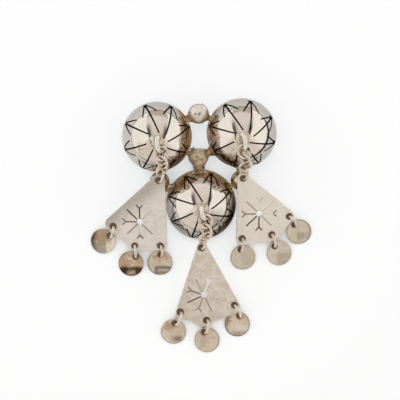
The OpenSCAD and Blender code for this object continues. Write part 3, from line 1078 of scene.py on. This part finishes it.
# %% Places and helpers for the pin
PIN_Y = 38.2
PIN_R = 0.6
KNUCKLE_R = 1.7
EAR = 0.9
EAR_GAP = 1.7
PIN_DROP = (PIN_Y - EAR_GAP / 2 - EAR) * math.tan(LEAN) - KNUCKLE_R
CATCH_R = PIN_Y * math.sin(LEAN) - PIN_DROP * math.cos(LEAN)
HINGE_X = -12.5
CATCH_X = 11.5
STEM = 25.5
pin_place = laid @ Matrix.Translation((HINGE_X, PIN_Y, -PIN_DROP))
catch_place = laid @ Matrix.Translation((CATCH_X, PIN_Y, -PIN_DROP))


def arc(middle, radius, start, end, steps=12):
    angles = [math.radians(start + (end - start) * i / steps) for i in range(steps + 1)]
    return [(middle[0] + radius * math.cos(a), middle[1] + radius * math.sin(a)) for a in angles]


def sheet_piece(name, outline, thickness, lie, bevel=0.12):
    """An outline thickened about its middle, with broken edges, laid by a matrix."""
    half = thickness / 2
    count = len(outline)
    points = [(x, y, -half) for x, y in outline] + [(x, y, half) for x, y in outline]
    faces = [list(reversed(range(count))), list(range(count, 2 * count))]
    faces += [[i, (i + 1) % count, count + (i + 1) % count, count + i] for i in range(count)]
    piece = new_object(name, moved(points, lie), faces)
    make_outward(piece)
    edge = piece.modifiers.new("edge", "BEVEL")
    edge.width = bevel * MM
    edge.segments = 3
    edge.limit_method = "ANGLE"
    edge.angle_limit = math.radians(40)
    apply_modifiers(piece)
    write_attribute(piece, "tarnish", np.full(len(piece.data.vertices), 0.25))
    return piece


def upright(place, turn):
    """Turns an outline, drawn in X and Y, so that its Y points up on the frame."""
    return place @ Matrix.Rotation(turn, 4, "Z") @ Matrix.Rotation(math.pi / 2, 4, "X")


print("pin at height", round(PIN_DROP, 2), "below the domes' backs")

# %% [markdown]
# ## Ears, catch and pin
# The pin turns on a rivet between two ears and rests in a hook that is open to one side. The ears
# could be one block with a slot, but two filed ones are simpler, at the bench as well as here. The
# pin's eye goes round the rivet with a little play, and its stem narrows to a point.

# %% Build the ears, the catch and the pin
def build_hinge():
    top = PIN_DROP + BACK_SHEET * 0.5
    outline = arc((0, 0), KNUCKLE_R, 180, 360, 20) + [(KNUCKLE_R, top), (-KNUCKLE_R, top)]
    for side in (-1, 1):
        place = pin_place @ Matrix.Translation((0, side * (EAR_GAP + EAR) / 2, 0))
        ear = sheet_piece("hinge_ear_%d" % (side + 2), outline, EAR, upright(place, 0))
        finish_frame_piece(ear, seat)
    head = [(0, 2.12), (0.45, 2.1), (0.8, 1.98), (0.92, 1.80), (0.92, 1.74), (0.6, 1.72), (0.6, 0.0)]
    rivet, faces = turned(head + [(r, -h) for r, h in reversed(head[:-1])], around=28)
    piece = new_object("hinge_rivet", moved(rivet, pin_place @ Matrix.Rotation(math.pi / 2, 4, "X")), faces)
    make_outward(piece)
    finish_frame_piece(piece, seat)


def build_catch():
    top = PIN_DROP + BACK_SHEET * 0.5
    bore, mouth = 0.95, 0.675
    lip = math.degrees(math.asin(mouth / bore))
    outer = math.degrees(math.asin(mouth / CATCH_R))
    outline = arc((0, 0), CATCH_R, 180 + outer, 360, 20)
    outline += [(CATCH_R, top), (-CATCH_R, top), (-CATCH_R, mouth)]
    outline += arc((0, 0), bore, 180 - lip, -180 + lip, 24)
    catch = sheet_piece("catch", outline, 3.0, upright(catch_place, math.pi / 2), bevel=0.1)
    finish_frame_piece(catch, seat)


def build_pin():
    taper = [(0.0, STEM + 2.5), (0.12, STEM + 2.42), (0.34, STEM + 1.2), (0.55, STEM), (PIN_R, STEM - 3)]
    stem, faces = turned(taper + [(PIN_R, 3.0), (PIN_R, 1.05), (0.0, 1.0)], around=24)
    pieces = [new_object("stem", moved(stem, pin_place @ Matrix.Rotation(math.pi / 2, 4, "Y")), faces)]
    eye = [(0.78, 0.35), (0.86, 0.55), (1.0, 0.6), (1.2, 0.6), (1.36, 0.5), (1.4, 0.3)]
    eye += [(r, -h) for r, h in reversed(eye)]
    ring, faces = turned(eye + [eye[0]], around=40)
    pieces.append(new_object("eye", moved(ring, pin_place @ Matrix.Rotation(math.pi / 2, 4, "X")), faces))
    for piece in pieces:
        make_outward(piece)
    join_pieces(*pieces)
    pieces[0].name = "pin"
    finish_piece(pieces[0], bright_wire, "silver_wire", "brooch_pin")


build_hinge()
build_catch()
build_pin()
print("pin in mm:", STEM, "from the rivet to its taper,", 2 * PIN_R, "thick")

# %% [markdown]
# ## Finding how a flat piece lies
# Every plate and disc lies at its own slope. Rather than repeat those numbers, the frame is asked:
# the thin direction of a node's points is the way the piece faces. Work on the piece is then done
# lying flat, and one matrix puts it back.

# %% Read the lie of plates, discs and rings
def node_points(node):
    co = points_mm(nodes[node])
    return np.unique(co.round(4), axis=0)


def lie_of(node):
    """A matrix from the piece's own flat axes to where it lies, and half its size in them."""
    spots = node_points(node)
    rough = spots.mean(0)
    facing = np.linalg.svd(spots - rough, full_matrices=False)[2][2]
    facing *= np.sign(facing[2]) or 1.0
    across = np.cross((0.0, 1.0, 0.0), facing)
    across /= np.linalg.norm(across)
    along = np.cross(facing, across)
    axes = np.array([across, along, facing])
    own = (spots - rough) @ axes.T
    middle = (own.max(0) + own.min(0)) / 2
    half = (own.max(0) - own.min(0)) / 2
    centre = rough + middle @ axes
    lie = Matrix.Identity(4)
    for i, axis in enumerate(axes):
        for j in range(3):
            lie[j][i] = axis[j]
    lie.translation = Vector(centre)
    return lie, half


# %% [markdown]
# ## Soft edges from a clean solid
# The plates and discs have sharp sawn edges in the frame. Years of wear round them. A bevel stalls
# in the narrow lines of the star, so a copy of the solid is rebuilt from small cells and relaxed,
# which rounds every edge evenly and leaves points enough to bend the sheet.

# %% Rebuild a flat piece with worn edges
RELAX = 4
BEND = 0.05
HAMMER_MARKS = 0.003


def flat_copy(node, name, cell):
    lie, half = lie_of(node)
    piece = nodes[node].copy()
    piece.data = nodes[node].data.copy()
    piece.name = name
    piece.parent = None
    for key in list(piece.keys()):
        del piece[key]
    bpy.context.scene.collection.objects.link(piece)
    piece.matrix_world = Matrix.Identity(4)
    # millimetres as units, because the cells are very small
    piece.data.transform(lie.inverted() @ Matrix.Scale(1 / MM, 4))
    cells = piece.modifiers.new("cells", "REMESH")
    cells.mode = "VOXEL"
    cells.voxel_size = cell
    worn = piece.modifiers.new("worn", "SMOOTH")
    worn.factor = 0.5
    worn.iterations = RELAX
    apply_modifiers(piece)
    return piece, lie, half


def set_points(piece, spots):
    piece.data.vertices.foreach_set("co", np.asarray(spots, np.float32).ravel())
    piece.data.update()


def near_places(spots, places, reach):
    """How near each spot is to one of the places: 1 on it, fading out over the reach."""
    tree = KDTree(len(places))
    for i, place in enumerate(places):
        tree.insert(place, i)
    tree.balance()
    return np.array([max(0.0, 1 - tree.find(spot)[2] / reach) for spot in spots])


def near_rings(piece, lie, rings, reach):
    """Dirt that gathers where rings pass through a sheet."""
    wires = np.vstack([node_points(ring) for ring in rings])
    return near_places(moved(own_points(piece), lie), wires, reach)


def bend_sheet(spots, seed, span):
    """Slow rises and falls over the sheet, and tiny hammer marks."""
    flat = spots * np.array([1, 1, 0])
    rise, slope = swelling(waves(seed, count=7, low=0.10, high=0.30, amount=1.0), flat)
    marks, slope = swelling(waves(seed + 100, count=12, low=0.9, high=2.2, amount=1.0), flat)
    fade = np.clip(1 - np.linalg.norm(spots[:, :2], axis=1) / span, 0, 1)
    spots = spots.copy()
    spots[:, 2] += BEND * rise / 4 * fade + HAMMER_MARKS * marks
    return spots


# %% [markdown]
# ## Hanging plates
# Each plate is cut from sheet, pierced with a star of sawn lines, and left with a satin surface that
# turns greyer or browner towards one side. A painted picture of these tones would blur from close
# by, so tables say from where to where a tone grows. The outline and the holes are those of the
# frame.

# %% What each plate looks like
PLATE_CELL = 0.115
# x and y of the star, turn and slope of the plate, turn of the star in it
STARS = {"left": (-19.5, 1.1, -23.4, 18.5, 23.4), "right": (18.5, 3.7, 24.2, 20, -24.2),
         "middle": (0.9, -22.3, 3.6, 13, -23)}
# the holes for the rings, measured from the star
PLATE_HOLES = {"left": ((0.2, 15.3), (-7.3, -4.9), (1.5, -8.1), (9.0, -4.6)),
               "right": ((-0.1, 13.2), (-8.2, -5.3), (0.9, -8.3), (8.4, -5.0)),
               "middle": ((0.1, 15.6), (-7.9, -5.0), (0.3, -8.3), (9.5, -3.9))}
PLATE_HOLE_R = 1.1
PLATE_LINING_R = 0.45
# how dark the fill is in the eight rays and four forks, from the right round, dirt and painted shadow
# together; None is open
RAYS = {"left": (0.02, 0.08, 0.90, 1.0, 0.75, 0.5, None, 0.4),
        "right": (0.03, None, 0.04, 0.4, 0.65, 1.0, 0.9, 0.2),
        "middle": (0.0, None, None, 0.25, 0.7, 0.9, 0.5, 0.45)}
FORKS = {"left": (0.02, 0.9, 0.65, 0.9), "right": (0.6, 0.05, 0.6, 0.9), "middle": (0.0, None, 0.55, 0.45)}
# sawn rays: width, start, where four of them fork and the other four end, length and turn of a fork
STAR_W = 0.42
RAY_START = 1.0
FORK_AT = 4.6
RAY_END = 5.8
FORK_LONG = 1.6
FORK_TURN = 40
BAR_STEPS = 6
# a tone across a plate: direction across and along, where along it the tone starts and is full, grey, brown
TONE_RAMPS = {"left": ((-0.59, 0.81, -1.0, 3.4, 0.5, 0.06), (-1.0, -0.3, 5.0, 10.0, 0.12, 0.16)),
        "right": ((0.0, -1.0, 3.0, 9.0, 0.0, 0.10), (-1.0, 0.0, 5.0, 9.0, 0.05, 0.10)),
        "middle": ((0.0, 1.0, -6.0, 6.0, 0.0, 0.08), (-1.0, 0.0, 4.0, 9.0, 0.12, 0.12),
                   (0.0, -1.0, 6.0, 12.0, 0.05, 0.1))}
print("packed rays:", {side: sum(dark is not None for dark in RAYS[side]) for side in SIDES})

# %% [markdown]
# ## Dirt and painted shadow in the cuts
# Old polish dries in narrow cuts, pale at first and nearly black later, and the darkest cuts stand
# for shadow as well. A dark picture on the sheet would seem to float over an open cut when seen
# from the side. So each filled ray is a low bar with its own darkness, dirt and painted shadow
# together, and a thin ring lines the wall of each hole, where a jump ring rubs its dirt and where
# shadow is painted.

# %% Pack the rays and line the holes
def dirt_and_shade_piece(name, points, faces, darkness):
    dirt_and_shade = new_object("dirt_and_shade_" + name, points, faces)
    make_outward(dirt_and_shade)
    write_attribute(dirt_and_shade, "dirt_and_shade", darkness)
    write_attribute(dirt_and_shade, "tarnish", np.zeros(len(points)))
    return dirt_and_shade


def line_hole(name, place, radius, inner):
    """A dark ring on the wall of a hole: the dirt that gathers round a jump ring, and painted shadow."""
    rim = radius + 0.05
    between = (inner + rim) / 2
    lining = [(inner, 0.12), (between, 0.20), (rim, 0.22), (rim, -0.22), (between, -0.20), (inner, -0.12)]
    points, faces = turned(lining + lining[:1], around=28)
    return dirt_and_shade_piece(name, moved(points, place), faces, np.full(len(points), 0.86))


def pack_rays(side, lie):
    """Old polish and dirt that fills the sawn rays, with painted shadow, as low bars with a darkness each.
    """
    x, y, turn, slope, star = STARS[side]
    facing = lie.to_3x3().col[2]
    centre = lie.translation
    z = centre.z - ((x - centre.x) * facing.x + (y - centre.y) * facing.y) / facing.z
    own = Matrix.Translation((x, y, z)) @ Matrix.Rotation(math.radians(turn), 4, "Z")
    own = own @ Matrix.Rotation(math.radians(slope), 4, "X")
    linings = [line_hole("%s_%d" % (side, i), own @ Matrix.Translation((*hole, 0)),
                          PLATE_HOLE_R, PLATE_LINING_R)
               for i, hole in enumerate(PLATE_HOLES[side])]
    place = own @ Matrix.Rotation(math.radians(star), 4, "Z")
    bars = []
    for i, dark in enumerate(RAYS[side]):
        ray = place @ Matrix.Rotation(math.radians(45 * i), 4, "Z")
        forked = i % 2 == 0
        if dark is not None:
            bars.append((ray, RAY_START, FORK_AT if forked else RAY_END, dark))
        if forked and FORKS[side][i // 2] is not None:
            for aside in (-FORK_TURN, FORK_TURN):
                prong = ray @ Matrix.Translation((FORK_AT - 0.1, 0, 0))
                prong = prong @ Matrix.Rotation(math.radians(aside), 4, "Z")
                bars.append((prong, 0.0, FORK_LONG, FORKS[side][i // 2]))
    points, faces, darkness = [], [], []
    for ray, start, end, dark in bars:
        first = len(points)
        for step_out in range(BAR_STEPS + 1):
            out = start + (end - start) * step_out / BAR_STEPS
            sink = 0.01 + 0.14 * dark + 0.05 * dark * math.sin(5 * out + first)
            corners = ((-1, -0.2), (1, -0.2), (1, 0.35 - sink), (-1, 0.35 - sink))
            points += [ray @ Vector((out, across * STAR_W / 2, up)) for across, up in corners]
            darkness += [dark] * 4
        faces += [[first + v for v in face] for face in tube_faces(BAR_STEPS + 1, 4, closed=False)]
        last = first + 4 * BAR_STEPS
        faces += [[first + 3, first + 2, first + 1, first], [last, last + 1, last + 2, last + 3]]
    return [dirt_and_shade_piece(side, points, faces, darkness)] + linings


# %% [markdown]
# ## Putting a plate together
# The rebuilt sheet is bent a little, because nobody hammers a plate quite flat, and is darker where
# rings pass through it and along its edges. A flat plate would reflect all of one soft box at once
# and look printed. The fill of dirt and painted shadow in its rays and holes is joined to it, so
# that it stays one piece.

# %% Make the plates
def build_plate(side, seed):
    plate, lie, half = flat_copy("plate_" + side, "sheet_" + side, PLATE_CELL)
    spots = bend_sheet(own_points(plate), seed, 1.4 * half[1])
    set_points(plate, spots)
    seen = spots @ np.array(lie.to_3x3().transposed())
    ramp_tones = np.zeros((2, len(spots)))
    for across, along, start, end, grey, brown in TONE_RAMPS[side]:
        depth = np.clip((seen[:, 0] * across + seen[:, 1] * along - start) / (end - start), 0, 1)
        ramp_tones += np.outer((grey, brown), depth)
    rings = ["chain_%s_4" % side] + ["disc_ring_%s_%d" % (side, i) for i in (1, 2, 3)]
    holes = near_rings(plate, lie, rings, 1.0)
    edges = near_places(spots, spots[np.abs(spots[:, 2]) < 0.5 * half[2]], 0.4)
    write_attribute(plate, "grey", ramp_tones[0])
    write_attribute(plate, "tarnish", ramp_tones[1] + 0.55 * holes + 0.22 * edges)
    write_attribute(plate, "dirt_and_shade", np.zeros(len(spots)))
    plate.data.transform(Matrix.Scale(MM, 4) @ lie)
    join_pieces(plate, *pack_rays(side, lie))
    finish_piece(plate, satin[side], "satin_silver", "plate_" + side)
    print("plate", side, "faces", len(plate.data.polygons), "half size", half.round(1))


for seed, side in enumerate(SIDES, 80):
    build_plate(side, seed)

# %% [markdown]
# ## Small discs
# Nine punched discs hang from the plates, and each took its own stains over the years. What looks
# like a stain is partly the edge of a soft box in a curved surface, so the marks are partly stains
# and partly painted reflections. Noise would scatter all this at random. A table of a few soft
# boxes per disc puts each mark where the photograph shows it, and a second one says on which side
# the rim is darkest with painted shade.

# %% Marks and rims of the discs
DISC_CELL = 0.11
DISH = 0.10
RIM_WIDE = 0.55
DISC_HOLE_R = 1.0
DISC_LINING_R = 0.42
# marks on each disc as seen from above, partly stains and partly painted reflections: left, right,
# bottom, top in mm from its middle, how soft the marks' edges are, and how grey, brown and dark they are
MARKS = {
    "left_1": ((-4.5, 0.9, -4.5, -0.5, 0.3, 0.60, 0.12, 0.05), (-4.5, 2.2, -0.3, 4.5, 1.9, 0.50, 0.36, 0.22),
               (-4.8, -2.6, -4.5, 4.5, 1.6, 0.0, 0.3, 0.7), (-1.6, 0.6, -1.0, 0.2, 0.8, 0.2, 0.1, 0.12)),
    "left_2": ((-3.9, 3.8, -4.8, -1.2, 1.0, 0.7, 0.8, 0.95),
               (-1.3, 1.4, -3.6, -2.2, 1.0, -0.55, -0.45, -0.65),
               (-3.0, -1.2, -2.4, -0.6, 1.0, 0.3, 0.3, 0.4), (-4.0, 4.0, -1.0, 4.0, 1.6, 0.0, 0.48, 0.05)),
    "left_3": ((-1.6, 4.0, -3.7, -1.2, 0.6, 0.85, 0.3, 0.3), (-0.7, 2.8, -3.0, -2.0, 0.6, -0.6, -0.2, -0.2),
               (-3.0, 3.0, 0.0, 3.0, 1.5, 0.0, 0.36, 0.0)),
    "right_1": ((-0.6, 4.5, -4.5, -0.6, 0.9, 0.14, 0.06, 0.0), (0.5, 4.5, 0.5, 4.5, 1.6, 0.0, 0.12, 0.0),
                (-0.8, 1.2, -0.9, 0.9, 0.9, 0.10, 0.0, 0.0)),
    "right_2": ((-0.6, 4.5, -4.5, 0.0, 0.8, 0.30, 0.05, 0.0), (-1.0, 4.5, 0.5, 4.5, 1.5, 0.0, 0.16, 0.0)),
    "right_3": ((-0.5, 3.4, -2.2, 0.0, 0.6, 0.30, 0.16, 0.0), (-0.5, 1.6, -3.4, -0.2, 0.7, 0.18, 0.1, 0.05),
                (0.0, 4.5, 0.5, 4.5, 1.4, 0.0, 0.16, 0.0)),
    "middle_1": ((-0.9, 2.6, -3.1, -1.1, 1.1, 0.32, 0.1, 0.05), (0.3, 2.5, -3.0, -1.8, 0.9, 0.35, 0.1, 0.3),
                 (-3.5, 3.2, 0.3, 3.5, 1.4, 0.0, 0.34, 0.0), (-2.0, 0.2, -0.6, 2.0, 1.0, 0.0, 0.25, 0.0)),
    "middle_2": ((-4.5, 4.5, -1.0, 4.5, 2.0, 0.0, 0.20, 0.0), (-2.2, 0.2, -2.5, 1.0, 1.2, 0.18, 0.0, 0.0)),
    "middle_3": ((-4.5, -2.8, -4.5, 2.5, 1.6, 0.1, 0.3, 0.4), (-1.5, 3.2, -4.5, -2.4, 1.2, 0.3, 0.25, 0.2),
                 (-3.0, 2.0, 0.5, 3.5, 1.5, 0.0, 0.25, 0.0)),
}
# bearing at which each disc's rim is darkest with painted shade, and how dark it is there and elsewhere
RIMS = {"left_1": (185, 0.95, 0.15), "left_2": (265, 0.9, 0.6), "left_3": (215, 0.8, 0.4),
        "right_1": (200, 0.5, 0.35), "right_2": (180, 0.4, 0.25), "right_3": (5, 0.95, 0.4),
        "middle_1": (330, 0.5, 0.3), "middle_2": (350, 0.7, 0.35), "middle_3": (235, 1.0, 0.6)}
print("marks on the discs:", sum(len(marks) for marks in MARKS.values()))

# %% [markdown]
# ## Dished, stained and shaded
# Punching leaves a disc slightly dished, with a brown rim that no cloth reaches, and painted shade
# darkens the rim most on one side. The dish matters most: it gives each disc a reflection of its
# own. The borders of the marks waver a little, and the wall of the hole is lined like those of the
# plates.

# %% Make the discs
def in_box(flat, left, right, bottom, top, soft):
    """How far inside a box each point is, from 0 outside to 1 inside."""
    depth = np.minimum(np.minimum(flat[:, 0] - left, right - flat[:, 0]),
                       np.minimum(flat[:, 1] - bottom, top - flat[:, 1]))
    return np.clip(depth / soft + 0.5, 0, 1)


def build_disc(which, seed):
    disc, lie, half = flat_copy("disc_" + which, "round_" + which, DISC_CELL)
    spots = bend_sheet(own_points(disc), seed, 8.0)
    away = np.linalg.norm(spots[:, :2], axis=1)
    spots[:, 2] += DISH * ((away / half[0]) ** 2 - 0.5)
    set_points(disc, spots)
    seen = spots @ np.array(lie.to_3x3().transposed())
    tones = np.zeros((3, len(spots)))
    crossed = seen[:, [1, 0, 2]]
    wavy = seen + 0.12 * np.sin(crossed * 0.9 + seed) + 0.03 * np.sin(crossed * 3.1 + seed)
    for left, right, bottom, top, soft, *how_strong in MARKS[which]:
        inside = in_box(wavy, left, right, bottom, top, soft)
        tones = np.clip(tones + np.outer(how_strong, inside), 0, 1)
    grey, brown, dark = tones
    rim = np.clip((away - half[0] + RIM_WIDE) / 0.35, 0, 1)
    darkest, most, least = RIMS[which]
    bearing = np.arctan2(seen[:, 1], seen[:, 0]) - math.radians(darkest)
    rim_dark = rim * (least + (most - least) * np.clip(np.cos(bearing), 0, 1))
    write_attribute(disc, "grey", grey)
    # painted shade and painted reflections: the dark of the marks, and the rim darkest on one side
    write_attribute(disc, "shade", np.maximum(dark, rim_dark * 0.8))
    holes = near_rings(disc, lie, ["disc_ring_" + which], 1.2)
    write_attribute(disc, "tarnish", np.maximum(brown, 0.25 * rim) + 0.3 * holes)
    write_attribute(disc, "dirt_and_shade", np.zeros(len(spots)))
    disc.data.transform(Matrix.Scale(MM, 4) @ lie)
    flat = moved(node_points("disc_" + which), lie.inverted())
    hole = flat[np.linalg.norm(flat[:, :2], axis=1) < half[0] - 0.2].mean(0)
    lining = line_hole("disc_" + which, lie @ Matrix.Translation(hole), DISC_HOLE_R, DISC_LINING_R)
    join_pieces(disc, lining)
    finish_piece(disc, toned, "toned_silver", "disc_" + which)
    return len(disc.data.polygons)


disc_faces = [build_disc(which, seed) for seed, which in enumerate(MARKS, 90)]
print("discs:", len(disc_faces), "faces each about", disc_faces[0])

# %% [markdown]
# ## Jump rings
# A jump ring is a turn of wire cut from a coil, closed and soldered. A perfect ring would give it
# away, so each is a little oval, its wire swells and thins, and a fine groove marks the joint. The
# frame says where each ring is, which way it faces and how thick its wire is.

# %% Make the rings
def ring_form(node, seed, steps=96, sides=16):
    lie, half = lie_of(node)
    wire = half[2]
    radius = (half[0] + half[1]) / 2 - wire
    rng = np.random.default_rng(seed)
    oval, turn, joint = rng.uniform(0.004, 0.012), rng.uniform(0, math.pi), rng.uniform(0, 2 * math.pi)
    path, radii = [], []
    for i in range(steps):
        angle = 2 * math.pi * i / steps
        away = radius * (1 + oval * math.cos(2 * (angle - turn)))
        path.append((away * math.cos(angle), away * math.sin(angle), 0.0))
        gap = math.atan2(math.sin(angle - joint), math.cos(angle - joint))
        swell = 1 + 0.02 * math.sin(3 * angle + seed) - 0.16 * math.exp(-((gap * radius / 0.09) ** 2))
        radii.append(wire * swell)
    points, faces = drawn(path, radii, (0, 0, 1), sides)
    return moved(points, lie), faces, radius


def build_ring(node, seed):
    points, faces, radius = ring_form(node, seed)
    name = node.replace("ring", "jump_ring").replace("chain", "link")
    ring = new_object(name, points, faces)
    make_outward(ring)
    write_attribute(ring, "tarnish", np.full(len(points), 0.10))
    finish_piece(ring, bright_wire, "silver_wire", node)
    return radius


ring_nodes = sorted(node for node in nodes if node.startswith(("chain_", "disc_ring_")))
radii = [build_ring(node, seed) for seed, node in enumerate(ring_nodes, 200)]
print("rings:", len(radii), "radius in mm", round(min(radii), 2), "to", round(max(radii), 2))
